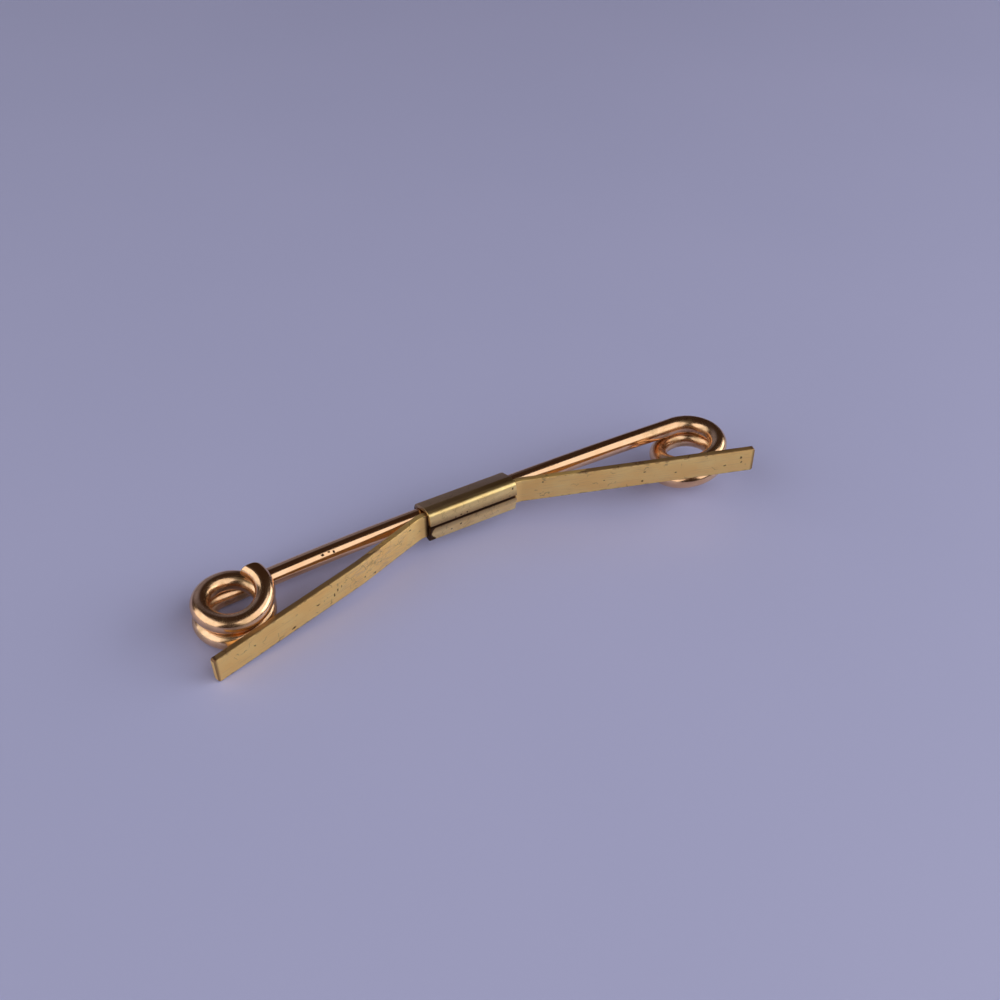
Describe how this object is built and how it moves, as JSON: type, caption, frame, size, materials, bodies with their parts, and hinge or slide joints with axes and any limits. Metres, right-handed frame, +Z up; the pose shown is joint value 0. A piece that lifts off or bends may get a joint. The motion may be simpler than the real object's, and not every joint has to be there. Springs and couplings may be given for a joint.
{
  "type": "collar bar",
  "caption": "Slim gold-tone collar bar: straight wire with a coiled eye at each end, flat spring strip in front, crimped sheet clasp round the middle.",
  "frame": {"origin": "middle of the clasp's flat front face", "axes": "+X along the bar, +Y back to the wire, +Z up along the axes of the two eyes"},
  "size_m": [0.0574, 0.0103, 0.0099],
  "materials": {
    "wire": "polished rose-gold plate over drawn wire, with fine draw lines and small pits",
    "strip": "worn satin gold plate on rolled strip, with long scratches and dark pits",
    "clasp_sheet": "yellow brass sheet, polished on the edges and tarnished in the folds"
  },
  "bodies": {
    "bar": {"wire_bar": "wire", "clasp": "clasp_sheet", "spring_centre": "strip"},
    "left_arm": {"left_spring_arm": "strip"},
    "right_arm": {"right_spring_arm": "strip"}
  },
  "joints": [
    {"name": "left_arm_flex", "type": "hinge", "parent": "bar", "child": "left_arm", "pos_m": [-0.00475, 0.00075, 0], "axis": [0, 0, 1], "range_deg": [0, 6], "stiffness_Nm_per_rad": 0.8, "springref_deg": -1.15},
    {"name": "right_arm_flex", "type": "hinge", "parent": "bar", "child": "right_arm", "pos_m": [0.00475, 0.00075, 0], "axis": [0, 0, -1], "range_deg": [0, 6], "stiffness_Nm_per_rad": 0.8, "springref_deg": -1.15}
  ]
}
